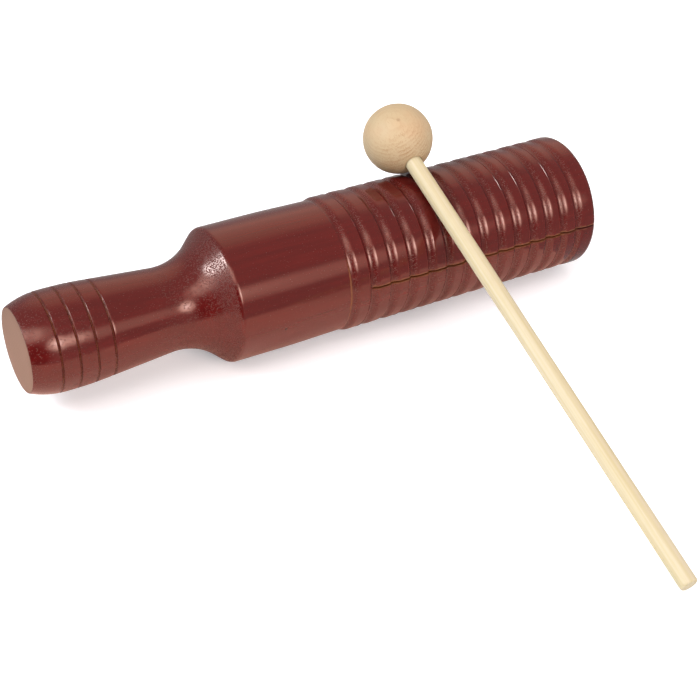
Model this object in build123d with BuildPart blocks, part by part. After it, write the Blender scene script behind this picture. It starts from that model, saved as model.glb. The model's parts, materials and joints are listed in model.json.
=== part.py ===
from build123d import *
from math import acos, asin, atan2, cos, degrees, hypot, sin, sqrt
import os

# Guiro tone block with its beater, in millimetres.
# The origin is the centre of the handle's end face. X runs along the turning axis to the open
# mouth, and Z is up. The block lies with its ribs on a table at z = -rib_radius.

# Turned outline, measured along X from the handle's end face
band_radius = 25.0
rib_radius = 25.3
block_length = 223.5
handle_end_radius = 15.3
barrel_radius = 18.1
barrel_front_x = 13.0
barrel_back_x = 21.5
barrel_bend = 120.0
throat_x = 62.0
throat_radius = 14.6
throat_bend = 22.0
shoulder_x = 73.5
shoulder_round = 3.0
band_taper_x = 97.0
band_end_x = 116.2
band_end_radius = 24.55
rim_round = 2.0
edge_break = 0.5

# Decorative V lines round the handle
ring_count = 4
ring_first_x = 9.9
ring_pitch = 6.45
ring_width = 0.9
ring_depth = 0.6

# Scraping grooves with a steep wall, a sharp foot and a flank that swings up to the next rib.
# Each step is a little shorter than the one before, and there are as many as fit before the mouth.
groove_first_x = 116.5
groove_step = 8.29
groove_step_loss = 0.127
groove_depth = 0.95
groove_wall = 1.0
groove_flank = 3.25
mouth_land = 4.2

# Sounding chamber, drilled from the mouth, and the saw kerf through both of its walls
bore_radius = 17.0
bore_depth = 104.0
kerf_length = 98.3
kerf_width = 0.8
kerf_roll = 7.5

# Beater: a drilled ball glued on a dowel
ball_radius = 13.2
ball_x = 156.8
stick_diameter = 6.35
stick_reach = 199.3
socket_depth = 15.0
glue_gap = 0.1
tip_round = 0.8
rest_gap = 0.2

os.makedirs("parts", exist_ok=True)

# Feet of the grooves
foot_radius = rib_radius - groove_depth
groove_feet = []
foot_x = groove_first_x
while foot_x + groove_flank < block_length - mouth_land:
    groove_feet.append((foot_x, foot_radius))
    foot_x += groove_step - groove_step_loss * (len(groove_feet) - 1)

# What one groove takes away, seen from its foot
with BuildSketch() as groove:
    with BuildLine():
        wall_top = (-groove_wall, groove_depth)
        flank_top = (groove_flank, groove_depth)
        flank_middle = (groove_flank / 2, groove_depth / 2)
        Polyline((0, 0), wall_top, flank_top)
        TangentArc(flank_top, flank_middle, tangent=(-1, 0))
        TangentArc((0, 0), flank_middle, tangent=(1, 0))
    make_face()

# The block is one turning: half section, revolved, then slit
with BuildPart() as block:
    with BuildSketch() as half_section:
        with BuildLine() as outline:
            barrel_front = (barrel_front_x, barrel_radius)
            TangentArc(barrel_front, (0, handle_end_radius), tangent=(-1, 0))
            FilletPolyline(
                barrel_front,
                (barrel_back_x, barrel_radius),
                (throat_x, throat_radius),
                (shoulder_x, band_radius),
                (band_taper_x, band_radius),
                radius=[barrel_bend, throat_bend, shoulder_round],
            )
            turned = outline.line.edges()
            Polyline(
                (band_taper_x, band_radius),
                (band_end_x, band_end_radius),
                (groove_first_x, foot_radius),
                (groove_first_x, rib_radius),
                (block_length, rib_radius),
            )
            Polyline((0, handle_end_radius), (0, 0), (block_length, 0), (block_length, rib_radius))
        make_face()
        for i in range(ring_count):
            ring_x = ring_first_x + i * ring_pitch
            ring_top = IntersectingLine((ring_x, 0), (0, 1), Curve(turned), mode=Mode.PRIVATE) @ 1
            with Locations(ring_top):
                Polygon((0, -ring_depth), (ring_width, ring_depth), (-ring_width, ring_depth),
                        align=None, mode=Mode.SUBTRACT)
        with Locations(*groove_feet):
            add(groove.sketch, mode=Mode.SUBTRACT)
        with Locations((block_length - bore_depth / 2, 0)):
            Rectangle(bore_depth, 2 * bore_radius, mode=Mode.SUBTRACT)
        mouth_corners = half_section.vertices().group_by(Axis.X)[-1]
        fillet(mouth_corners.sort_by(Axis.Y)[-1], rim_round)
        mouth_corners = half_section.vertices().group_by(Axis.X)[-1]
        fillet(mouth_corners.sort_by(Axis.Y)[0], edge_break)
        fillet(half_section.vertices().group_by(Axis.X)[0].sort_by(Axis.Y)[-1], edge_break)
    revolve(axis=Axis.X)
    with BuildSketch(Plane.XY.rotated((-kerf_roll, 0, 0))):
        with Locations((block_length - kerf_length / 2, 0)):
            Rectangle(kerf_length, 2 * rib_radius)
    extrude(amount=kerf_width / 2, both=True, mode=Mode.SUBTRACT)
block.part.label = "tone_block"
export_step(block.part, "parts/tone_block.step")

# Lean of the beater, seen along the block: the stick touches the rib tops in front of the highest
# line, the ball hooks over behind it, and the rounded tip stands on the table
stick_radius = stick_diameter / 2
stick_offset = rib_radius + stick_radius + rest_gap
ball_offset = rib_radius + ball_radius + rest_gap
touch_to_ball = sqrt(ball_offset**2 - stick_offset**2)
touch_to_tip = stick_reach - touch_to_ball - tip_round
touch_height = stick_offset - stick_radius + tip_round
lean = atan2(touch_height, touch_to_tip)
lean += asin((rib_radius - tip_round) / hypot(touch_to_tip, touch_height))
ball_angle = acos(stick_offset / ball_offset) - lean
ball_center = Vector(ball_x, ball_offset * sin(ball_angle), ball_offset * cos(ball_angle))
stick_direction = Vector(0, -cos(lean), -sin(lean))
beater_plane = Plane(origin=ball_center, x_dir=(1, 0, 0), z_dir=stick_direction)
socket_floor = ball_radius - socket_depth
stick_start = socket_floor + glue_gap

with BuildPart(beater_plane) as ball:
    Sphere(ball_radius)
    with BuildSketch(beater_plane.offset(socket_floor)):
        Circle(stick_radius + glue_gap)
    extrude(amount=socket_depth, mode=Mode.SUBTRACT)
ball.part.label = "beater_ball"
export_step(ball.part, "parts/beater_ball.step")

with BuildPart() as stick:
    with BuildSketch(beater_plane.offset(stick_start)):
        Circle(stick_radius)
    extrude(amount=stick_reach - stick_start)
    fillet(stick.faces().sort_by(Axis(ball_center, stick_direction))[-1].edges(), tip_round)
stick.part.label = "beater_stick"
export_step(stick.part, "parts/beater_stick.step")

print(f"grooves {len(groove_feet)}, lean {degrees(lean):.2f} degrees, ball centre {ball_center}")
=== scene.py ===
import json
import math

import bmesh
import bpy
import numpy as np
from mathutils import Matrix, Vector, noise


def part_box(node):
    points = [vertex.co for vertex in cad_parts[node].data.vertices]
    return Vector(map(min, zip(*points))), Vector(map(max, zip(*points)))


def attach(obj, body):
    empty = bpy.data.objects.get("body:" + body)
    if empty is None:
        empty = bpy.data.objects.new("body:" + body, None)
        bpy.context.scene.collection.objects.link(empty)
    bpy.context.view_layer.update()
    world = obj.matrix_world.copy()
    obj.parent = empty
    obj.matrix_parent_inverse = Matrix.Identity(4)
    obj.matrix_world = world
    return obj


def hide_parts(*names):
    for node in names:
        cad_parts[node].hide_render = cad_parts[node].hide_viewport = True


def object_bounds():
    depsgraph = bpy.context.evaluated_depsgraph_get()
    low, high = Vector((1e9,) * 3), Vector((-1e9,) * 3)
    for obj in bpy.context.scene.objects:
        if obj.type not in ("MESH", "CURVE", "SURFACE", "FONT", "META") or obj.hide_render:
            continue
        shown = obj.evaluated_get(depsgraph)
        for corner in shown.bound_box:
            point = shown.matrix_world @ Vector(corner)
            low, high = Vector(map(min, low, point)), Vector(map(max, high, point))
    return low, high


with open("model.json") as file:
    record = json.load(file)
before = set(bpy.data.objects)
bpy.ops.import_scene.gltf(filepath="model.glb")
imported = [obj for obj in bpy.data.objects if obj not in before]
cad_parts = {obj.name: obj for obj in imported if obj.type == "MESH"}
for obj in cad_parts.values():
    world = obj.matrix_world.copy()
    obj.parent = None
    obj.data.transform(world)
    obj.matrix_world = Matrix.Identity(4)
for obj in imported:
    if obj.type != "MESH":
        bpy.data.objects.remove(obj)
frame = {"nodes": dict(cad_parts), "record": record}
cadLow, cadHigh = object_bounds()
mm = 0.001
weldReach = 0.002 * mm  # points closer than this are one
creaseAngle = math.radians(32)  # faces that meet more sharply keep a hard edge
scene = bpy.context.scene
print("frame loaded with", ", ".join(sorted(frame["nodes"])))


# Shared helpers

def linear(hexColour):  # sRGB hex to linear RGBA
    parts = [int(hexColour[i:i + 2], 16) / 255 for i in (1, 3, 5)]
    return (*[c / 12.92 if c <= 0.04045 else ((c + 0.055) / 1.055) ** 2.4 for c in parts], 1.0)


def addNode(tree, kind, inputs, **settings):  # an input that is a socket is linked, any other is a value
    new = tree.nodes.new("ShaderNode" + kind)
    for name, value in settings.items():
        setattr(new, name, value)
    for name, value in inputs.items():
        if isinstance(value, bpy.types.NodeSocket):
            tree.links.new(value, new.inputs[name])
        else:
            new.inputs[name].default_value = value
    return new


def newFinish(name):
    finish = bpy.data.materials.new(name)
    finish.use_nodes = True
    finish.node_tree.nodes.clear()
    return finish, finish.node_tree


def cellSize(x, y, z):  # multiplier that makes one cell of a pattern this many millimetres
    return (1 / (x * mm), 1 / (y * mm), 1 / (z * mm))


def between(limits, unit=1.0):  # the input range of a map range node
    return {"From Min": limits[0] * unit, "From Max": limits[1] * unit}


def roundedPath(corners, arcStep):  # each corner is (x, y, radius of its rounding)
    path = [Vector(corners[0][:2])]
    for before, corner, after in zip(corners, corners[1:], corners[2:]):
        here = Vector(corner[:2])
        toBefore = (Vector(before[:2]) - here).normalized()
        toAfter = (Vector(after[:2]) - here).normalized()
        halfTurn = (math.pi - toBefore.angle(toAfter)) / 2
        start = here + toBefore * corner[2] * math.tan(halfTurn)
        end = here + toAfter * corner[2] * math.tan(halfTurn)
        centre = here + (toBefore + toAfter).normalized() * corner[2] / math.cos(halfTurn)
        steps = max(2, math.ceil(2 * halfTurn / arcStep))
        sense = math.copysign(2 * halfTurn, (start - centre).cross(end - centre))
        for k in range(steps + 1):
            path.append(centre + Matrix.Rotation(sense * k / steps, 2) @ (start - centre))
    path.append(Vector(corners[-1][:2]))
    return np.array([p[:] for p in path])


def addPiece(name, points, faces, finishes, faceFinish=None, masks=None, grainPlace=None):
    mesh = bpy.data.meshes.new(name)
    mesh.from_pydata(points, [], faces)
    for finish in finishes:
        mesh.materials.append(finish)
    if faceFinish is not None:
        mesh.polygons.foreach_set("material_index", faceFinish)
    for maskName, values in (masks or {}).items():
        mesh.attributes.new(maskName, "FLOAT", "POINT").data.foreach_set("value", values)
    if grainPlace is not None:
        grain = mesh.attributes.new("grainPlace", "FLOAT_VECTOR", "POINT")
        grain.data.foreach_set("vector", np.ravel(grainPlace))
    work = bmesh.new()
    work.from_mesh(mesh)
    bmesh.ops.remove_doubles(work, verts=work.verts, dist=weldReach)
    bmesh.ops.recalc_face_normals(work, faces=work.faces)
    for face in work.faces:
        face.smooth = True
    work.to_mesh(mesh)
    work.free()
    mesh.set_sharp_from_angle(angle=creaseAngle)
    piece = bpy.data.objects.new(name, mesh)
    scene.collection.objects.link(piece)
    return piece


# Finishes

stainLook = {  # colours as they are under white light, lengths in millimetres
    "deepStain": "#460b0b",
    "warmStain": "#540f0e",
    "poreStain": "#3a0e0c",
    # painted shade: the dark tone laid into the bottoms of the grooves and ring lines
    "poolStain": "#2a0a0a",
    "bareEdge": "#64340f",
    "resin": "#1c0605",
    "resinPlace": (90.0, -24.8, -3.3),  # one dark fleck low on the band
    "resinReach": (0.7, 0.35),  # where it begins, and where it is full
    "lacquerTint": "#ffe0d5",  # the lacquer carries some of the stain
    "lacquerIor": 1.63,
    "roughness": 0.11,
    "tornRoughness": 0.2,  # where the tool cut across the fibres
    "poreRoughness": 0.55,
    "grain": {  # size of a cell along and across the grain, then the detail and roughness of the noise
        "streak": ((60.0, 1.8, 1.8), 3.0, 0.6),
        "blotch": ((26.0, 12.0, 12.0), 2.0, 0.5),
        "pore": ((0.6, 0.42, 0.42), 1.0, 0.5),  # real pores are about 0.1 mm across, drawn coarser to show
        "wear": ((2.6, 1.8, 1.8), 2.0, 0.6),
        "peel": ((2.6, 1.8, 1.8), 2.0, 0.55),  # slight waves of the sprayed lacquer
    },
    "streakRange": (0.36, 0.64),
    "blotchRange": (0.3, 0.7),
    "blotchShare": (0.25, 0.75),
    "poreRange": (0.7, 0.78),  # what is above it is a pore
    "poreShade": 0.5,
    "tornOpening": 0.24,  # how much further torn fibres open their pores
    "raggedness": 0.7,  # of the edges that are rubbed through
    "rubbedRange": (0.55, 1.05),
    "poreDepth": 0.012,
    "tornDepth": 0.05,
    "peelDepth": 0.012,
}


def mahoganyStainedBeech():
    # turned beech, stained mahogany and sprayed with lacquer: a dark red-brown with faint streaks along
    # the turning axis, and soft highlights that open pores break into specks where fibres are cut across
    look = stainLook
    finish, tree = newFinish("mahoganyStainedBeechLacquered")
    place = addNode(tree, "TexCoord", {}).outputs["Object"]
    torn = addNode(tree, "Attribute", {}, attribute_name="tornGrain").outputs["Fac"]
    grain = {}
    for name, (cell, detail, roughness) in look["grain"].items():
        cells = addNode(tree, "VectorMath", {0: place, 1: cellSize(*cell)}, operation="MULTIPLY")
        grain[name] = addNode(tree, "TexNoise", {
            "Vector": cells.outputs[0], "Scale": 1.0, "Detail": detail, "Roughness": roughness,
        }).outputs[0]
    streaks = addNode(tree, "MapRange", {
        "Value": grain["streak"], **between(look["streakRange"]),
    })
    blotches = addNode(tree, "MapRange", {
        "Value": grain["blotch"], **between(look["blotchRange"]),
        "To Min": look["blotchShare"][0], "To Max": look["blotchShare"][1],
    })
    uneven = addNode(tree, "Math", {0: streaks.outputs[0], 1: blotches.outputs[0]}, operation="MULTIPLY")
    stain = addNode(tree, "Mix", {
        0: uneven.outputs[0], 6: linear(look["deepStain"]), 7: linear(look["warmStain"]),
    }, data_type="RGBA")
    openness = addNode(tree, "Math", {
        0: torn, 1: look["tornOpening"], 2: grain["pore"],
    }, operation="MULTIPLY_ADD")
    pores = addNode(tree, "MapRange", {
        "Value": openness.outputs[0], **between(look["poreRange"]),
    }, interpolation_type="SMOOTHSTEP")
    poreShade = addNode(tree, "Math", {0: pores.outputs[0], 1: look["poreShade"]}, operation="MULTIPLY")
    pored = addNode(tree, "Mix", {
        0: poreShade.outputs[0], 6: stain.outputs[2], 7: linear(look["poreStain"]),
    }, data_type="RGBA")
    resinPlace = [v * mm for v in look["resinPlace"]]
    fromResin = addNode(tree, "VectorMath", {0: place, 1: resinPlace}, operation="DISTANCE")
    resin = addNode(tree, "MapRange", {
        "Value": fromResin.outputs["Value"], **between(look["resinReach"], mm),
    }, interpolation_type="SMOOTHSTEP")
    stained = addNode(tree, "Mix", {
        0: resin.outputs[0], 6: pored.outputs[2], 7: linear(look["resin"]),
    }, data_type="RGBA")

    # painted shade: a darker tone in the bottom of the grooves and rings, where shade falls
    hollowShadeMask = addNode(tree, "Attribute", {}, attribute_name="pooledStain")
    pooled = addNode(tree, "Mix", {
        0: hollowShadeMask.outputs["Fac"], 6: stained.outputs[2], 7: linear(look["poolStain"]),
    }, data_type="RGBA")

    # edges where the lacquer is cut or rubbed through to the wood
    rubbed = addNode(tree, "Attribute", {}, attribute_name="bareEdge")
    ragged = addNode(tree, "Math", {
        0: grain["wear"], 1: look["raggedness"], 2: rubbed.outputs["Fac"],
    }, operation="MULTIPLY_ADD")
    bare = addNode(tree, "MapRange", {
        "Value": ragged.outputs[0], **between(look["rubbedRange"]),
    }, interpolation_type="SMOOTHSTEP")
    colour = addNode(tree, "Mix", {
        0: bare.outputs[0], 6: pooled.outputs[2], 7: linear(look["bareEdge"]),
    }, data_type="RGBA")

    dull = addNode(tree, "Math", {0: resin.outputs[0], 1: bare.outputs[0]}, operation="MAXIMUM")
    openWood = addNode(tree, "Math", {0: pores.outputs[0], 1: dull.outputs[0]}, operation="MAXIMUM")
    lacquer = addNode(tree, "MapRange", {
        "Value": torn, "To Min": look["roughness"], "To Max": look["tornRoughness"],
    })
    roughness = addNode(tree, "MapRange", {
        "Value": openWood.outputs[0], "To Min": lacquer.outputs[0], "To Max": look["poreRoughness"],
    })
    peel = addNode(tree, "Bump", {
        "Height": grain["peel"], "Distance": look["peelDepth"] * mm, "Strength": 1.0,
    })
    pitDepth = addNode(tree, "MapRange", {
        "Value": torn, "To Min": look["poreDepth"] * mm, "To Max": look["tornDepth"] * mm,
    })
    pits = addNode(tree, "Bump", {
        "Height": pores.outputs[0], "Distance": pitDepth.outputs[0], "Strength": 1.0,
        "Normal": peel.outputs[0],
    }, invert=True)
    shader = addNode(tree, "BsdfPrincipled", {
        "Base Color": colour.outputs[2], "Roughness": roughness.outputs[0], "IOR": look["lacquerIor"],
        "Specular Tint": linear(look["lacquerTint"]), "Normal": pits.outputs[0],
    })
    addNode(tree, "OutputMaterial", {"Surface": shader.outputs[0]})
    return finish


endLook = {
    "earlyWood": "#7a5e4d",
    "lateWood": "#6c5042",
    "layer": 2.1,  # millimetres between growth layers
    "layerWave": 3.0,
    "cloud": (9.0, 9.0, 9.0),
    "pith": (0.0, 31.0, -38.0),  # middle of the tree, well outside this billet
    "pore": 0.35,  # coarser than real pores of about 0.1 mm, so that they show
    "napDepth": 0.02,
    "roughness": 0.6,
    "ior": 1.4,
}


def sawnEndGrain():
    # the handle's end, sawn off after staining and sanded: tan end grain with faint curved layers and pores
    look = endLook
    finish, tree = newFinish("beechEndGrainSanded")
    place = addNode(tree, "TexCoord", {}).outputs["Object"]
    pith = [v * mm for v in look["pith"]]
    reach = addNode(tree, "VectorMath", {0: place, 1: pith}, operation="DISTANCE")
    cells = addNode(tree, "VectorMath", {0: place, 1: cellSize(*look["cloud"])}, operation="MULTIPLY")
    clouds = addNode(tree, "TexNoise", {"Vector": cells.outputs[0], "Scale": 1.0, "Detail": 2.0})
    wavy = addNode(tree, "Math", {
        0: clouds.outputs[0], 1: look["layerWave"] * mm, 2: reach.outputs["Value"],
    }, operation="MULTIPLY_ADD")
    layer = addNode(tree, "Math", {0: wavy.outputs[0], 1: look["layer"] * mm}, operation="DIVIDE")
    ring = addNode(tree, "Math", {0: layer.outputs[0]}, operation="FRACT")
    specks = addNode(tree, "TexNoise", {
        "Vector": place, "Scale": 1 / (look["pore"] * mm), "Detail": 1.0,
    })
    late = addNode(tree, "Math", {0: ring.outputs[0], 1: specks.outputs[0]}, operation="MULTIPLY")
    colour = addNode(tree, "Mix", {
        0: late.outputs[0], 6: linear(look["earlyWood"]), 7: linear(look["lateWood"]),
    }, data_type="RGBA")
    nap = addNode(tree, "Bump", {
        "Height": specks.outputs[0], "Distance": look["napDepth"] * mm, "Strength": 1.0,
    })
    shader = addNode(tree, "BsdfPrincipled", {
        "Base Color": colour.outputs[2], "Roughness": look["roughness"], "IOR": look["ior"],
        "Normal": nap.outputs[0],
    })
    addNode(tree, "OutputMaterial", {"Surface": shader.outputs[0]})
    return finish


boreLook = {
    "name": "beechDrilledRaw",
    "wood": "#a0744a",
    "darkWood": "#7c5230",
    "overspray": "#5a231f",  # stain that reached a little way in from the mouth
    "oversprayDepth": 14.0,
    "oversprayFray": 0.5,  # share of that depth by which its edge is frayed
    "fibre": (7.0, 0.6, 0.6),
    "toolMark": 1.3,  # spacing of the drill's turning marks
    "markWander": 2.0,
    "markDepth": 0.08,
    "hairDepth": 0.15,
    "roughness": 0.75,
    "ior": 1.5,
}
kerfShadedLook = {  # the same wood, drawn darker as painted shade inside the narrow slit
    **boreLook,
    "name": "beechSawnRaw",
    "wood": "#8a4f22",
    "darkWood": "#3f1e0c",
}


def rawBeech(look, mouthX):
    # beech left raw by the drill and the saw: orange-brown, matt and hairy, with turning marks (the saw-cut
    # walls darker, as painted shade inside the slit)
    finish, tree = newFinish(look["name"])
    place = addNode(tree, "TexCoord", {}).outputs["Object"]
    cells = addNode(tree, "VectorMath", {0: place, 1: cellSize(*look["fibre"])}, operation="MULTIPLY")
    fibre = addNode(tree, "TexNoise", {"Vector": cells.outputs[0], "Scale": 1.0, "Detail": 4.0})
    along = addNode(tree, "SeparateXYZ", {0: place})
    wood = addNode(tree, "Mix", {
        0: fibre.outputs[0], 6: linear(look["darkWood"]), 7: linear(look["wood"]),
    }, data_type="RGBA")
    sprayDepth = look["oversprayDepth"] * mm
    sprayReach = addNode(tree, "Math", {
        0: fibre.outputs[0], 1: look["oversprayFray"] * sprayDepth, 2: along.outputs[0],
    }, operation="MULTIPLY_ADD")
    sprayed = addNode(tree, "MapRange", {
        "Value": sprayReach.outputs[0], **between((mouthX - sprayDepth, mouthX)),
    }, interpolation_type="SMOOTHSTEP")
    colour = addNode(tree, "Mix", {
        0: sprayed.outputs[0], 6: wood.outputs[2], 7: linear(look["overspray"]),
    }, data_type="RGBA")
    turns = addNode(tree, "TexWave", {  # at a scale of 1 its bands are pi / 10 apart
        "Vector": place, "Scale": math.pi / 10 / (look["toolMark"] * mm),
        "Distortion": look["markWander"], "Detail": 2.0,
    }, wave_type="BANDS", bands_direction="X")
    marks = addNode(tree, "Bump", {
        "Height": turns.outputs[1], "Distance": look["markDepth"] * mm, "Strength": 1.0,
    })
    hairs = addNode(tree, "Bump", {
        "Height": fibre.outputs[0], "Distance": look["hairDepth"] * mm, "Strength": 1.0,
        "Normal": marks.outputs[0],
    })
    shader = addNode(tree, "BsdfPrincipled", {
        "Base Color": colour.outputs[2], "Roughness": look["roughness"], "IOR": look["ior"],
        "Normal": hairs.outputs[0],
    })
    addNode(tree, "OutputMaterial", {"Surface": shader.outputs[0]})
    return finish


ballLook = {
    "earlyWood": "#ac9979",
    "lateWood": "#8a653c",
    "blush": "#b39371",  # pinker heartwood clouds
    "blushRange": (0.45, 0.75),
    "blushShare": 0.5,
    "scar": "#7d5f43",
    "scarReach": (1.0, 0.3),  # where it begins, and where it is full
    "layer": 1.2,  # millimetres between growth layers
    "layerWave": 3.0,
    "layerRange": (0.35, 0.95),  # from pale to dark within a layer
    "grain": {  # size of a cell across and along the dowel
        "cloud": (9.0, 9.0, 9.0),
        "patch": (5.0, 5.0, 5.0),  # patches in which the layers show more or less
        "fleck": (0.35, 0.35, 1.6),
    },
    "patchRange": (0.35, 0.65),
    "patchLeast": 0.02,
    "fleckRange": (0.55, 0.7),
    "tearReach": (3.0, 12.0),  # from the ball's middle towards the stick, where more fibres are torn
    "tearShare": (0.18, 0.85),
    "ridgeDepth": 0.01,
    "napDepth": 0.02,
    "roughness": 0.55,
    "ior": 1.45,
}


def turnedBeech(layerAxis, scarPlace):
    # beech ball turned and sanded but not finished: flat growth layers show as rings round the side
    # that faces up and to the front, with fine flecks, coarser round the socket, and a dull silky surface
    look = ballLook
    finish, tree = newFinish("beechTurnedSanded")
    place = addNode(tree, "Attribute", {}, attribute_name="grainPlace").outputs["Vector"]
    grain = {}
    for name, cell in look["grain"].items():
        cells = addNode(tree, "VectorMath", {0: place, 1: cellSize(*cell)}, operation="MULTIPLY")
        grain[name] = addNode(tree, "TexNoise", {
            "Vector": cells.outputs[0], "Scale": 1.0, "Detail": 2.0,
        }).outputs[0]
    clouds, patches, flecks = grain["cloud"], grain["patch"], grain["fleck"]
    depth = addNode(tree, "VectorMath", {0: place, 1: layerAxis}, operation="DOT_PRODUCT")
    wavy = addNode(tree, "Math", {
        0: clouds, 1: look["layerWave"] * mm, 2: depth.outputs["Value"],
    }, operation="MULTIPLY_ADD")
    layer = addNode(tree, "Math", {0: wavy.outputs[0], 1: look["layer"] * mm}, operation="DIVIDE")
    ring = addNode(tree, "Math", {0: layer.outputs[0]}, operation="FRACT")
    along = addNode(tree, "SeparateXYZ", {0: place})
    tear = addNode(tree, "MapRange", {
        "Value": along.outputs[2], **between(look["tearReach"], mm),
        "To Min": look["tearShare"][0], "To Max": look["tearShare"][1],
    })
    showing = addNode(tree, "MapRange", {
        "Value": patches, **between(look["patchRange"]),
        "To Min": look["patchLeast"], "To Max": tear.outputs[0],
    })
    late = addNode(tree, "MapRange", {
        "Value": ring.outputs[0], **between(look["layerRange"]), "To Max": showing.outputs[0],
    })
    wood = addNode(tree, "Mix", {
        0: late.outputs[0], 6: linear(look["earlyWood"]), 7: linear(look["lateWood"]),
    }, data_type="RGBA")
    blushing = addNode(tree, "MapRange", {
        "Value": clouds, **between(look["blushRange"]), "To Max": look["blushShare"],
    })
    blushed = addNode(tree, "Mix", {
        0: blushing.outputs[0], 6: wood.outputs[2], 7: linear(look["blush"]),
    }, data_type="RGBA")
    fleckShade = addNode(tree, "MapRange", {
        "Value": flecks, **between(look["fleckRange"]), "To Max": tear.outputs[0],
    })
    flecked = addNode(tree, "Mix", {
        0: fleckShade.outputs[0], 6: blushed.outputs[2], 7: linear(look["lateWood"]),
    }, data_type="RGBA")
    fromScar = addNode(tree, "VectorMath", {0: place, 1: scarPlace}, operation="DISTANCE")
    scarred = addNode(tree, "MapRange", {
        "Value": fromScar.outputs["Value"], **between(look["scarReach"], mm), "To Max": flecks,
    }, interpolation_type="SMOOTHSTEP")
    colour = addNode(tree, "Mix", {
        0: scarred.outputs[0], 6: flecked.outputs[2], 7: linear(look["scar"]),
    }, data_type="RGBA")
    ridges = addNode(tree, "Bump", {
        "Height": ring.outputs[0], "Distance": look["ridgeDepth"] * mm, "Strength": 1.0,
    })
    nap = addNode(tree, "Bump", {
        "Height": flecks, "Distance": look["napDepth"] * mm, "Strength": 1.0, "Normal": ridges.outputs[0],
    })
    shader = addNode(tree, "BsdfPrincipled", {
        "Base Color": colour.outputs[2], "Roughness": look["roughness"], "IOR": look["ior"],
        "Normal": nap.outputs[0],
    })
    addNode(tree, "OutputMaterial", {"Surface": shader.outputs[0]})
    return finish


dowelLook = {
    "pale": "#bab095",
    "straw": "#b2a580",
    "grain": {  # size of a cell across and along the dowel, then the detail of the noise
        "streak": ((0.9, 0.9, 70.0), 3.0),
        "pore": ((0.3, 0.3, 5.0), 2.0),  # coarser than real pores of about 0.1 mm, so that they show
    },
    "streakRange": (0.4, 0.68),
    "poreRange": (0.6, 0.72),
    "poreShade": 0.5,
    "napDepth": 0.04,
    "roughness": 0.55,
    "ior": 1.45,
}


def machinedBirch():
    # birch dowel from a moulder, bare: pale cream with long faint streaks and short fine pores
    look = dowelLook
    finish, tree = newFinish("birchDowelMachined")
    place = addNode(tree, "Attribute", {}, attribute_name="grainPlace").outputs["Vector"]
    grain = {}
    for name, (cell, detail) in look["grain"].items():
        cells = addNode(tree, "VectorMath", {0: place, 1: cellSize(*cell)}, operation="MULTIPLY")
        grain[name] = addNode(tree, "TexNoise", {
            "Vector": cells.outputs[0], "Scale": 1.0, "Detail": detail,
        }).outputs[0]
    straw = addNode(tree, "MapRange", {"Value": grain["streak"], **between(look["streakRange"])})
    wood = addNode(tree, "Mix", {
        0: straw.outputs[0], 6: linear(look["pale"]), 7: linear(look["straw"]),
    }, data_type="RGBA")
    poreShade = addNode(tree, "MapRange", {
        "Value": grain["pore"], **between(look["poreRange"]), "To Max": look["poreShade"],
    })
    colour = addNode(tree, "Mix", {
        0: poreShade.outputs[0], 6: wood.outputs[2], 7: linear(look["straw"]),
    }, data_type="RGBA")
    nap = addNode(tree, "Bump", {
        "Height": grain["pore"], "Distance": look["napDepth"] * mm, "Strength": 1.0,
    })
    shader = addNode(tree, "BsdfPrincipled", {
        "Base Color": colour.outputs[2], "Roughness": look["roughness"], "IOR": look["ior"],
        "Normal": nap.outputs[0],
    })
    addNode(tree, "OutputMaterial", {"Surface": shader.outputs[0]})
    return finish


# Tone block: handle, band and ribbed barrel in one turning, bored from the mouth and slit by a saw

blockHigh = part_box("tone_block")[1]
blockLength = blockHigh.x / mm
ribRadius = blockHigh.z / mm
mounts = {mount["name"]: mount for mount in frame["record"]["mounts"]}
bandRadius = mounts["smooth_band"]["dims"]["r_mm"]

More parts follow.
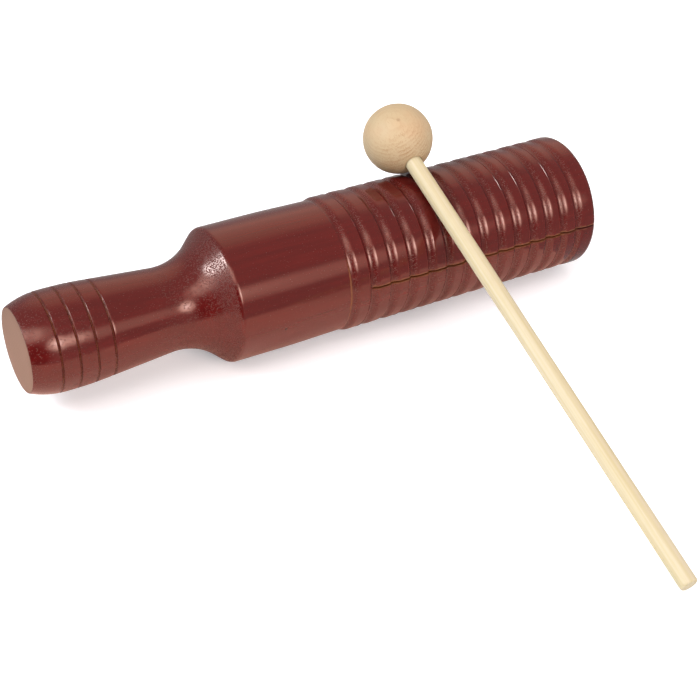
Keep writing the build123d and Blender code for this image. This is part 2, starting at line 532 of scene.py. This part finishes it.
toneBlock = {  # millimetres, places are along X from the handle's end face
    "handle": [  # place, radius and rounding of each corner of the turned outline
        (0.0, 15.3, 0.4),  # rim of the end face
        (6.2, 18.1, 30.0),  # rounded nose
        (21.5, 18.1, 120.0),  # swell of the grip
        (62.0, 14.6, 22.0),  # throat
        (73.5, bandRadius, 2.8),  # shoulder
        (97.0, bandRadius, 300.0),  # the band falls from here to the first groove
        (116.2, 24.55, 0.12),
        (116.5, 24.43, 0.0),
    ],
    "rim": 2.0,  # rounding at the mouth
    "boreRadius": mounts["mouth_bore"]["dims"]["r_mm"],
    "boreEdge": 0.5,
    "boreDepth": 104.0,
    "boreFloor": [(0.6, 0.0), (0.2, 0.2), (0.0, 0.7), (0.0, 9.0)],  # up from the floor, in from the wall
    "rings": {"count": 4, "first": 9.9, "pitch": 6.45, "width": 0.9, "depth": 0.6},
    "grooves": {
        "first": 116.5, "step": 8.29, "stepLoss": 0.127, "mouthLand": 4.2,
        "depth": 0.95, "wall": 1.0, "flank": 3.25,
        "easedFlank": 0.46,  # share by which sanding brought the flank to straight
        "footRound": 0.25, "wallEdge": 0.01, "wallEdgeReach": 0.6,
        "ribFall": 0.12,  # how far a rib's top falls to the next wall
    },
    "kerf": {
        "roll": 7.5,  # degrees that its front edge is above the axis
        "start": 125.2, "width": 0.8, "taper": 0.25,
        "lip": 0.12, "lipReach": 0.4,  # how deep and how far its lips are chipped
        "chips": (0.7, 0.9, 2.3),  # usual share, how much it varies, and over what length
    },
    "wobble": 0.07,  # unevenness of hand turning
    "wobbleLength": 7.0,
    "wobbleFree": 4.0,  # none this near to either end, or along the kerf
    "tornHandle": [  # place, and how torn the fibres are on the nose and in the throat
        (0, 0.3), (20, 0.35), (28, 0), (42, 0), (52, 0.5), (60, 0.5), (68, 0),
    ],
    "tornFlank": 2.8,
    "pooled": {"grooves": 0.5, "rings": 0.15},  # painted shade in the groove bottoms and ring lines
    "rubbed": {  # where the lacquer is gone
        "lip": 1.3, "lipReach": 0.5, "lowerLip": 0.5,  # the upper lip is the more worn one
        "burst": (0.7, 0.9, 0.8),  # past the kerf's start where the saw stopped, its length and height
        "bandEnd": 0.85, "bandPatches": 0.6, "bandReach": 0.35, "bandInset": 0.1,
        "front": (0.17, 0.6),  # radians: the band's end is worst in front, where the hand rubs
        "rings": 0.55,
    },
    "station": 0.05,  # grid that the rows of the mesh are set on
    "arcStep": 1.5,  # degrees between the points of a rounding
    "rimRows": 9,
    "faceRows": (0, 0.35, 0.7),  # shares of the end face's radius
    "handleRows": (1.0, 77.0, 0.8),  # first, last and step
    "bandRows": (77.0, 116.0, 2.0),
    "ringRows": (-0.65, 0.66, 0.15),  # from the middle of a ring line
    "grooveRows": (  # from the foot of a groove
        -1.25, -1.1, -1.0, -0.75, -0.5, -0.3, -0.15, 0, 0.15, 0.3,
        0.6, 0.9, 1.25, 1.6, 1.95, 2.3, 2.65, 3.0, 3.3, 3.7, 4.6,
    ),
    "columns": 48,  # round half of the block
    "lipColumns": (0.0, 0.15, 0.35, 0.6, 0.95, 1.5),  # distances from the kerf
}


def ringCut(x):
    rings = toneBlock["rings"]
    nearest = np.clip(np.round((x - rings["first"]) / rings["pitch"]), 0, rings["count"] - 1)
    across = np.abs(x - rings["first"] - nearest * rings["pitch"])
    return rings["depth"] * np.clip(1 - 2 * across / rings["width"], 0, 1)


def grooveFeet():  # deepest places of the grooves, which close up towards the mouth
    grooves = toneBlock["grooves"]
    feet = [grooves["first"]]
    while True:
        foot = feet[-1] + grooves["step"] - grooves["stepLoss"] * (len(feet) - 1)
        if foot + grooves["flank"] > blockLength - grooves["mouthLand"]:
            return feet
        feet.append(foot)


def grooveCut(x):  # depth below the rib tops: steep wall, rounded foot, flank of two arcs, eased wall edge
    grooves = toneBlock["grooves"]
    depth, reach = grooves["depth"], grooves["wallEdgeReach"]
    feet = grooveFeet()
    swing = (grooves["flank"] ** 2 + depth ** 2) / 4 / depth
    cut = np.zeros_like(x)
    for foot, following in zip(feet, feet[1:] + [None]):
        past = x - foot
        wall = depth * (1 + past / grooves["wall"])
        up = np.clip(past, 0, grooves["flank"])
        down = grooves["flank"] - up
        hollow = depth - swing + np.sqrt(swing ** 2 - np.minimum(up, down) ** 2)
        flank = np.where(up < down, hollow, depth - hollow)
        flank += grooves["easedFlank"] * (depth * down / grooves["flank"] - flank)
        valley = (wall + flank - np.hypot(wall - flank, grooves["footRound"])) / 2
        easing = np.interp(past, (-reach, reach), (grooves["wallEdge"], 0))
        cut = np.maximum(cut, (valley + np.hypot(valley, easing)) / 2)
        if following:
            top = (foot + grooves["flank"], following - grooves["wall"])
            fall = np.interp(x, top, (0, grooves["ribFall"]), left=0, right=0)
            cut = np.maximum(cut, fall)
    return cut


def turnedBack(x, rounding):  # how far a rounded corner at the mouth has come away from its wall
    into = np.clip(x - blockLength + rounding, 0, rounding)
    return rounding - np.sqrt(rounding ** 2 - into ** 2)


def skinStations(outline):  # places along X of the rows of the outer skin
    sizes = toneBlock
    rings, kerf = sizes["rings"], sizes["kerf"]
    quarter = np.sin(np.linspace(0, math.pi / 2, sizes["rimRows"]))
    places = [outline[:, 0], np.arange(*sizes["handleRows"]), np.arange(*sizes["bandRows"]), [blockLength]]
    for i in range(rings["count"]):
        places.append(rings["first"] + i * rings["pitch"] + np.arange(*sizes["ringRows"]))
    for foot in grooveFeet():
        places.append(foot + np.array(sizes["grooveRows"]))
    places.append(blockLength - sizes["rim"] * (1 - quarter))
    places.append(blockLength - sizes["boreEdge"] * (1 - quarter[::2]))
    places.append([kerf["start"] - kerf["taper"], kerf["start"]])
    x = np.unique(np.round(np.concatenate(places) / sizes["station"])) * sizes["station"]
    return x[x <= blockLength]


def tornShare(x, radius):  # where the tool cut across the fibres
    sizes = toneBlock
    grooves = sizes["grooves"]
    steep = np.clip(np.abs(np.gradient(radius, x)), 0, 1)
    onHandle = np.maximum(steep, np.interp(x, *zip(*sizes["tornHandle"])))
    past = np.min([np.where(x < foot, blockLength, x - foot) for foot in grooveFeet()], 0)
    sunk = grooveCut(x) / grooves["depth"]
    onFlank = sizes["tornFlank"] * sunk * (1 - sunk) * (past < grooves["flank"])
    return np.where(x < grooves["first"], onHandle, onFlank)


# painted shade: darkens the lower half of each groove and the ring lines
def hollowShadeShare(x):
    sizes = toneBlock
    deep = np.clip(grooveCut(x) / sizes["grooves"]["depth"] - 0.5, 0, 0.5)  # lower half alone
    return sizes["pooled"]["grooves"] * deep + sizes["pooled"]["rings"] * ringCut(x) / sizes["rings"]["depth"]


def blockRows():  # half section from the end face's middle over the skin, round the mouth and into the bore
    sizes = toneBlock
    kerf = sizes["kerf"]
    outline = roundedPath([(0, 0, 0), *sizes["handle"]], math.radians(sizes["arcStep"]))
    x = skinStations(outline)
    turned = np.interp(x, outline[1:, 0], outline[1:, 1]) - ringCut(x)
    ribbed = ribRadius - grooveCut(x) - turnedBack(x, sizes["rim"])
    radius = np.where(x < sizes["grooves"]["first"], turned, ribbed)
    inX = x[x > kerf["start"] - 1.5 * kerf["taper"]][::-1]  # the bore has the skin's rows along the kerf
    inRadius = sizes["boreRadius"] + turnedBack(inX, sizes["boreEdge"])
    floorX = blockLength - sizes["boreDepth"]
    endFace = [(0.0, share * outline[1, 1]) for share in sizes["faceRows"]]
    floor = [(floorX + up, sizes["boreRadius"] - inward) for up, inward in sizes["boreFloor"]]
    floor.append((floorX, 0.0))
    rows = np.concatenate([endFace, np.stack([x, radius], 1), np.stack([inX, inRadius], 1), floor])
    skin = slice(len(endFace), len(endFace) + len(x))
    bore = slice(skin.stop, skin.stop + len(inX))
    halfGap = (x > kerf["start"] - kerf["taper"] / 2) * kerf["width"] / 2
    gap, torn, pooled = np.zeros((3, len(rows)))
    gap[skin], gap[bore] = halfGap, halfGap[-len(inX):][::-1]
    torn[skin] = tornShare(x, radius)
    pooled[skin] = hollowShadeShare(x)
    return rows, gap, torn, pooled, skin, bore


def buildToneBlock(finishes):
    sizes = toneBlock
    kerf, rubs = sizes["kerf"], sizes["rubbed"]
    skinFinish, boreFinish, endFinish, kerfShadedFinish = range(4)  # order of the finishes
    rows, gap, torn, pooled, skin, bore = blockRows()
    near = np.array(sizes["lipColumns"]) / bandRadius
    even = np.linspace(near[-1], math.pi - near[-1], sizes["columns"] + 1)
    spread = np.concatenate([near[:-1], even, math.pi - near[:-1][::-1]])
    fromKerf = np.minimum(spread, math.pi - spread) * bandRadius
    start = np.arcsin(gap / np.maximum(rows[:, 1], kerf["width"]))[:, None]
    angle = start + spread * (1 - 2 * start / math.pi)
    x = np.repeat(rows[:, :1], len(spread), 1)
    outer = (np.arange(len(rows)) < skin.stop)[:, None]
    slit = (gap > 0)[:, None]
    free = outer & ~slit & (x > sizes["wobbleFree"]) & (x < blockLength - sizes["wobbleFree"])
    usual, varied, length = kerf["chips"]
    points, masks = [], []
    for half in (1, -1):
        lipShare = 1.0 if half > 0 else rubs["lowerLip"]
        chipLine = 7.0 * half  # each lip has chips of its own
        chips = [noise.noise(Vector((place / length, chipLine, 0))) for place in rows[:, 0]]
        chipped = lipShare * (usual + varied * np.array(chips)[:, None]) * (outer & slit)
        radius = rows[:, 1:] - kerf["lip"] * chipped * np.exp(-(fromKerf / kerf["lipReach"]) ** 2)
        turn = half * angle + math.radians(kerf["roll"])
        y = -radius * np.cos(turn)
        z = radius * np.sin(turn)
        places = np.stack([x, y, z], -1).reshape(-1, 3)
        uneven = [noise.noise(Vector(place) / sizes["wobbleLength"]) for place in places]
        uneven = np.array(uneven).reshape(x.shape)
        points.append(np.stack([x + sizes["wobble"] * uneven * free, y, z], -1).reshape(-1, 3) * mm)

        rubbed = rubs["lip"] * chipped * np.exp(-(fromKerf / rubs["lipReach"]) ** 2)
        past, long, high = rubs["burst"]
        burst = np.exp(-((x - kerf["start"] - past) / long) ** 2 - (fromKerf / high) ** 2)
        rubbed = np.maximum(rubbed, burst * outer * (half > 0))
        bandEnd = sizes["grooves"]["first"] - rubs["bandInset"]
        patchy = rubs["bandEnd"] + rubs["bandPatches"] * uneven
        patchy *= np.exp(-((turn - rubs["front"][0]) / rubs["front"][1]) ** 2)
        rubbed = np.maximum(rubbed, patchy * np.exp(-((x - bandEnd) / rubs["bandReach"]) ** 2) * outer)
        rubbed = np.maximum(rubbed, rubs["rings"] * ringCut(rows[:, :1]) / sizes["rings"]["depth"])
        masks.append(rubbed.reshape(-1))
    across = len(spread)
    faces, finishOf = [], []
    for half in (0, 1):
        base = half * len(rows) * across
        for i in range(len(rows) - 1):
            for j in range(across - 1):
                a = base + i * across + j
                faces.append((a, a + 1, a + across + 1, a + across))
                finishOf.append(endFinish if i < skin.start else skinFinish if i < skin.stop else boreFinish)
        for i in range(skin.stop - (bore.stop - bore.start), skin.stop - 1):  # the kerf's two saw-cut walls
            inner = 2 * skin.stop - 1 - i
            for j in (0, across - 1):
                corners = (i, i + 1, inner - 1, inner)
                faces.append(tuple(base + k * across + j for k in corners))
                finishOf.append(kerfShadedFinish)
    return addPiece("toneBlock", np.concatenate(points), faces, finishes, finishOf, {
        "bareEdge": np.concatenate(masks),
        "tornGrain": np.tile(np.repeat(torn, across), 2),
        "pooledStain": np.tile(np.repeat(pooled, across), 2),
    })


block = buildToneBlock([
    mahoganyStainedBeech(),
    rawBeech(boreLook, blockHigh.x),
    sawnEndGrain(),
    # the saw-cut walls: raw beech drawn darker, painted shade inside the slit
    rawBeech(kerfShadedLook, blockHigh.x),
])
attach(block, "block")
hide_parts("tone_block")
print("tone block turned:", len(block.data.polygons), "faces")


# Beater: a drilled ball glued on a dowel

def dowelLine():  # ends of the dowel's centre line, from its own vertices
    corners = [corner.co[:] for corner in frame["nodes"]["beater_stick"].data.vertices]
    corners = np.unique(np.round(corners, 6), axis=0)
    middle = (corners.min(0) + corners.max(0)) / 2
    direction = np.linalg.svd(corners - middle, full_matrices=False)[2][0]
    direction *= -np.sign(direction[1])  # towards the tip, which lies in front
    along = (corners - middle) @ direction
    tip = along.max() - 0.02 * mm  # just inside the solid
    return Vector(middle + along.min() * direction), Vector(middle + tip * direction)


dowelStart, dowelTip = dowelLine()
dowelAxis = (dowelTip - dowelStart).normalized()
ballLow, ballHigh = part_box("beater_ball")
ballCentre = dowelStart + dowelAxis * ((ballLow + ballHigh) / 2 - dowelStart).dot(dowelAxis)
beaterTurn = dowelAxis.to_track_quat("Z", "Y")

beater = {  # millimetres
    "ballRadius": (ballHigh.z - ballLow.z) / 2 / mm - 0.1,  # inside the facets of the solid
    "socketGap": 0.1,
    "socketEdge": 0.25,
    "socketLip": [(0.1, 0.06), (0.3, 0.0)],  # down from the ball's skin, out from the socket's wall
    "stickRadius": 3.175,
    "stickEndRounding": 0.2,
    "tipRounding": 0.8,
    "arcStep": 15,  # degrees between the points of a rounding
    "ballRows": 72,
    "ballSegments": 128,
    "socketRows": 8,
    "stickRows": 60,
    "stickSegments": 64,
    "unevenness": 0.05,  # what sanding by hand leaves
    "stickUnevenness": 0.03,
    "dipLength": 6.0,
    "flatSize": (2.5, 2.5, 30.0),  # flats left on the dowel
    "layersFacing": (-0.52, -0.31, 0.80),  # the side of the ball that the growth layers go round
    "scarFacing": (-0.27, -0.37, 0.89),  # a nick near the top
}


def latheGrid(rows, segments):  # rows of (height, radius) turned about Z
    turn = np.linspace(0, 2 * math.pi, segments, endpoint=False)
    points = [(r * math.cos(a), r * math.sin(a), h) for h, r in rows for a in turn]
    faces = []
    for low in range(0, (len(rows) - 1) * segments, segments):
        high = low + segments
        for j in range(segments):
            k = (j + 1) % segments
            faces.append((low + j, low + k, high + k, high + j))
    return np.array(points), faces


def onBeater(points):  # from millimetres along the dowel to its place in the frame
    return points @ np.array(beaterTurn.to_matrix()).T * mm + np.array(ballCentre)


def buildBall(finish):
    sizes = beater
    radius = sizes["ballRadius"]
    socket = sizes["stickRadius"] + sizes["socketGap"]
    mouth = math.asin((socket + sizes["socketEdge"]) / radius)
    sweep = np.linspace(math.pi, mouth, sizes["ballRows"])
    rows = [(radius * math.cos(a), radius * math.sin(a)) for a in sweep]
    rows[0] = (-radius, 0.0)
    lipHeight = rows[-1][0]
    rows += [(lipHeight - down, socket + out) for down, out in sizes["socketLip"]]
    floor = (dowelStart - ballCentre).dot(dowelAxis) / mm - sizes["socketGap"]
    rows += [(height, socket) for height in np.linspace(lipHeight - 1, floor, sizes["socketRows"])]
    rows.append((floor, 0.0))
    points, faces = latheGrid(rows, sizes["ballSegments"])
    skin = np.hypot(np.hypot(points[:, 0], points[:, 1]), points[:, 2]) > radius * 0.98  # not the socket
    dips = np.array([noise.noise(Vector(p) / sizes["dipLength"]) - 1 for p in points])
    points *= (1 + sizes["unevenness"] / radius * dips * skin)[:, None]
    return addPiece("beaterBall", onBeater(points), faces, [finish], grainPlace=points * mm)


def buildStick(finish):
    sizes = beater
    radius = sizes["stickRadius"]
    start = (dowelStart - ballCentre).dot(dowelAxis) / mm
    end = start + (dowelTip - dowelStart).length / mm
    profile = roundedPath([
        (start, 0, 0), (start, radius, sizes["stickEndRounding"]),
        (end, radius, sizes["tipRounding"]), (end, 0, 0),
    ], math.radians(sizes["arcStep"]))
    heights = np.linspace(start + 1, end - 2, sizes["stickRows"])  # clear of both roundings
    shaft = [(height, radius) for height in heights]
    split = len(profile) // 2
    rows = [*map(tuple, profile[:split]), *shaft, *map(tuple, profile[split:])]
    points, faces = latheGrid(rows, sizes["stickSegments"])
    flats = np.array([noise.noise(Vector(p)) - 1 for p in points / sizes["flatSize"]])
    points[:, :2] *= (1 + sizes["stickUnevenness"] / radius * flats)[:, None]
    return addPiece("beaterStick", onBeater(points), faces, [finish], grainPlace=points * mm)


layerAxis = beaterTurn.inverted() @ Vector(beater["layersFacing"])
scarPlace = beaterTurn.inverted() @ Vector(beater["scarFacing"]) * beater["ballRadius"] * mm
ball = buildBall(turnedBeech(layerAxis, scarPlace))
stick = buildStick(machinedBirch())
for piece, node, slot in ((ball, "beater_ball", "ball_wood"), (stick, "beater_stick", "dowel_wood")):
    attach(piece, "beater")
    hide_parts(node)
print("beater turned:", len(ball.data.polygons) + len(stick.data.polygons), "faces")


# Studio: a white table, a pale room whose lit walls and lamps show in the lacquer, soft fill that does not,
# and a warm card under the block that shows in the lacquer alone

studio = {  # metres and degrees, directions are azimuth from the front towards +X, then elevation
    "table": 12.0,  # across
    "tablePaint": "#eff3f7",
    "tableLight": 0.3,  # the table is lit from below, which keeps shadows faint
    "tableBelow": 0.1 * mm,
    "cardPaint": "#f8d2c2",
    "card": (-0.9, 0.222, -0.16, 0.05),  # left, right, front and back edge, short of the mouth's rim
    "cardBelow": 0.05 * mm,
    "room": "#f5f2ee",
    "roomStrength": 0.5,
    "darkShare": 0.04,
    "darkSide": (-35, 8, 20, 32),  # unlit wall: its direction, how far it is fully dark, and how far at all
    "glows": [  # lit walls: the same, then how bright they are, and their colour
        (4, 30, 1, 8, 5.6, "#eaf4ff"),  # front lamp and the wall round it
        (4, 30, 2, 19, 7.7, "#ffe4d8"),
        (26, 25, 3, 15, 1.4, "#ffd6c4"),
        (-105, 39, 2, 13, 25.0, "#eef8ff"),  # left lamp
        (-80, 44, 5, 22, 3.0, "#ffeee6"),
        (-52, 54, 5, 21, 2.4, "#ffe8dc"),
        (-22, 57, 4, 20, 1.4, "#ffe0d0"),
        (155, 38, 8, 34, 0.75, "#ffc4a2"),
    ],
    "aim": (0.11, -0.02, 0.0),
    "fillColour": "#ebf5ff",
    "fill": {  # direction, distance, size, power
        "frontFill": (-5, 16, 1.6, (1.0, 0.8), 1.6),
        "rightFill": (80, 22, 1.6, (1.0, 0.8), 5.4),
        "leftFill": (-85, 8, 1.6, (1.0, 0.6), 2.4),
        "topFill": (0, 80, 1.8, (1.6, 1.6), 9.1),
    },
}


def pointing(azimuth, elevation):
    turn, rise = math.radians(azimuth), math.radians(elevation)
    return Vector((math.sin(turn) * math.cos(rise), -math.cos(turn) * math.cos(rise), math.sin(rise)))


def mattPanel(name, colour, light, left, right, front, back, below):
    # flat matt paint: an even tone with hardly any shine
    paint, tree = newFinish(name + "Matt")
    shader = addNode(tree, "BsdfPrincipled", {
        "Base Color": linear(colour), "Roughness": 0.9, "Specular IOR Level": 0.1,
        "Emission Color": linear(colour), "Emission Strength": light,
    })
    addNode(tree, "OutputMaterial", {"Surface": shader.outputs[0]})
    mesh = bpy.data.meshes.new(name)
    corners = [(left, front, 0), (right, front, 0), (right, back, 0), (left, back, 0)]
    mesh.from_pydata(corners, [], [(0, 1, 2, 3)])
    mesh.materials.append(paint)
    panel = bpy.data.objects.new(name, mesh)
    panel.location.z = cadLow.z - below
    scene.collection.objects.link(panel)
    return panel


def tableAndCard():
    half = studio["table"] / 2
    table = mattPanel("whiteTable", studio["tablePaint"], studio["tableLight"],
                      -half, half, -half, half, studio["tableBelow"])
    table.visible_glossy = False
    card = mattPanel("warmCard", studio["cardPaint"], 0.0, *studio["card"], studio["cardBelow"])
    card.visible_camera = False
    card.visible_diffuse = False
    card.visible_shadow = False


def studioRoom():
    room = bpy.data.worlds.new("studioRoom")
    room.use_nodes = True
    tree = room.node_tree
    tree.nodes.clear()
    ahead = addNode(tree, "TexCoord", {}).outputs["Generated"]
    strength = studio["roomStrength"]
    patches = [(*studio["darkSide"], strength, studio["darkShare"] * strength, studio["room"])]
    patches += [(*place, 0.0, strength, colour) for *place, strength, colour in studio["glows"]]
    lit = (0.0, 0.0, 0.0)
    for azimuth, elevation, full, reach, outside, inside, colour in patches:  # soft, round and added up
        middle = pointing(azimuth, elevation)
        near = addNode(tree, "VectorMath", {0: ahead, 1: middle}, operation="DOT_PRODUCT")
        level = addNode(tree, "MapRange", {
            "Value": near.outputs["Value"], "To Min": outside, "To Max": inside,
            **between((math.cos(math.radians(reach)), math.cos(math.radians(full)))),
        }, interpolation_type="SMOOTHSTEP")
        lit = addNode(tree, "VectorMath", {
            0: linear(colour)[:3], 1: level.outputs[0], 2: lit,
        }, operation="MULTIPLY_ADD").outputs[0]
    light = addNode(tree, "Background", {"Color": lit, "Strength": 1.0})
    addNode(tree, "OutputWorld", {"Surface": light.outputs[0]})
    scene.world = room


def addFill(name, azimuth, elevation, distance, size, power):
    lamp = bpy.data.lights.new(name, "AREA")
    lamp.shape = "RECTANGLE"
    lamp.size, lamp.size_y = size
    lamp.energy = power
    lamp.color = linear(studio["fillColour"])[:3]
    away = pointing(azimuth, elevation)
    holder = bpy.data.objects.new(name, lamp)
    holder.location = Vector(studio["aim"]) + away * distance
    holder.rotation_euler = away.to_track_quat("Z", "Y").to_euler()
    holder.visible_camera = False
    holder.visible_glossy = False
    scene.collection.objects.link(holder)


tableAndCard()
for fillName, settings in studio["fill"].items():
    addFill(fillName, *settings)
studioRoom()
scene.view_settings.view_transform = "Standard"

cameraSet = {  # metres, degrees, millimetres
    "place": (-0.12114, -0.41678, 0.34528),
    "turns": (51.247, -2.911, -28.934),
    "lens": 82.286,
    "sensor": 36.0,
    "nearest": 0.01,
}

lens = bpy.data.cameras.new("photoCamera")
lens.lens = cameraSet["lens"]
lens.sensor_width = cameraSet["sensor"]
lens.clip_start = cameraSet["nearest"]
camera = bpy.data.objects.new("photoCamera", lens)
camera.location = cameraSet["place"]
camera.rotation_euler = [math.radians(turn) for turn in cameraSet["turns"]]
scene.collection.objects.link(camera)
scene.camera = camera
print("studio lit")
